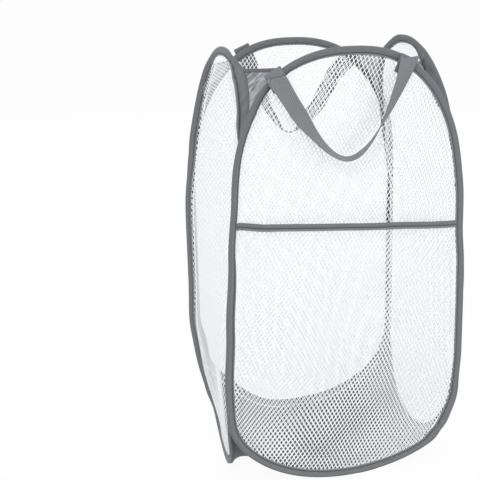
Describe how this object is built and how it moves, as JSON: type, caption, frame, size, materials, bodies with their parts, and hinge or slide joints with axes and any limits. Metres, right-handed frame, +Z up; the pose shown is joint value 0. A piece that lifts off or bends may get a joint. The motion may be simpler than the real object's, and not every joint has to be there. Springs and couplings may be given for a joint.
{
  "type": "pop up laundry hamper",
  "caption": "Tall rectangular pop up hamper: spring wire loops in grey binding tape hold white mesh walls, with a fabric base, a mesh front pocket and webbing handles.",
  "frame": {"origin": "on the floor, under the middle of the base", "axes": "+Z up, the wall with the pocket faces -Y, +X to the viewer's right"},
  "size_m": [0.3524, 0.3184, 0.61],
  "materials": {
    "binding_tape": "matte woven polyester tape",
    "grey_fabric": "thin woven polyester with a slight sheen",
    "white_net": "matte warp knitted polyester mesh",
    "webbing": "matte twill webbing",
    "spring_steel": "bright drawn spring wire"
  },
  "bodies": {
    "front": {"front_wire": "spring_steel", "front_ferrule": "spring_steel", "front_binding": "binding_tape", "front_net": "white_net", "pocket_net": "white_net", "pocket_hem": "binding_tape", "base": "grey_fabric", "front_handle_left_tab": "webbing", "front_handle_right_tab": "webbing", "front_left_gusset": "grey_fabric", "front_left_gusset_tape": "binding_tape", "front_left_seam": "binding_tape", "front_right_gusset": "grey_fabric", "front_right_gusset_tape": "binding_tape", "front_right_seam": "binding_tape"},
    "left": {"left_wire": "spring_steel", "left_ferrule": "spring_steel", "left_binding": "binding_tape", "left_net": "white_net", "back_left_gusset": "grey_fabric", "back_left_gusset_tape": "binding_tape", "back_left_seam": "binding_tape"},
    "back": {"back_wire": "spring_steel", "back_ferrule": "spring_steel", "back_binding": "binding_tape", "back_net": "white_net", "back_handle_left_tab": "webbing", "back_handle_right_tab": "webbing", "back_right_gusset": "grey_fabric", "back_right_gusset_tape": "binding_tape", "back_right_seam": "binding_tape"},
    "right": {"right_wire": "spring_steel", "right_ferrule": "spring_steel", "right_binding": "binding_tape", "right_net": "white_net"},
    "front_handle": {"front_handle_strap": "webbing"},
    "back_handle": {"back_handle_strap": "webbing"}
  },
  "joints": [
    {"name": "fold", "type": "hinge", "parent": "front", "child": "left", "pos_m": [-0.17021, -0.12521, 0], "axis": [0, 0, 1], "range_deg": [-88, 88], "stiffness_Nm_per_rad": 0.5, "deforming": ["left_wire", "left_binding", "left_net", "right_wire", "right_binding", "right_net", "base", "front_right_gusset", "front_right_gusset_tape", "front_right_seam", "back_right_gusset", "back_right_gusset_tape", "back_right_seam", "back_left_gusset", "back_left_gusset_tape", "back_left_seam", "front_left_gusset", "front_left_gusset_tape", "front_left_seam"]},
    {"name": "back_fold", "type": "hinge", "parent": "left", "child": "back", "pos_m": [-0.17021, 0.12521, 0], "axis": [0, 0, 1], "range_deg": [-88, 88]},
    {"name": "right_fold", "type": "hinge", "parent": "front", "child": "right", "pos_m": [0.17021, -0.12521, 0], "axis": [0, 0, 1], "range_deg": [-88, 88]},
    {"name": "front_handle_swing", "type": "hinge", "parent": "front", "child": "front_handle", "pos_m": [-0.014, -0.13425, 0.58542], "axis": [-0.9945, 0, -0.1046], "range_deg": [0, 180]},
    {"name": "back_handle_swing", "type": "hinge", "parent": "back", "child": "back_handle", "pos_m": [0.014, 0.13425, 0.58542], "axis": [0.9945, 0, -0.1046], "range_deg": [0, 180]}
  ],
  "couplings": [
    {"joint": "back_fold", "follows": "fold", "ratio": -1},
    {"joint": "right_fold", "follows": "fold", "ratio": 1}
  ]
}
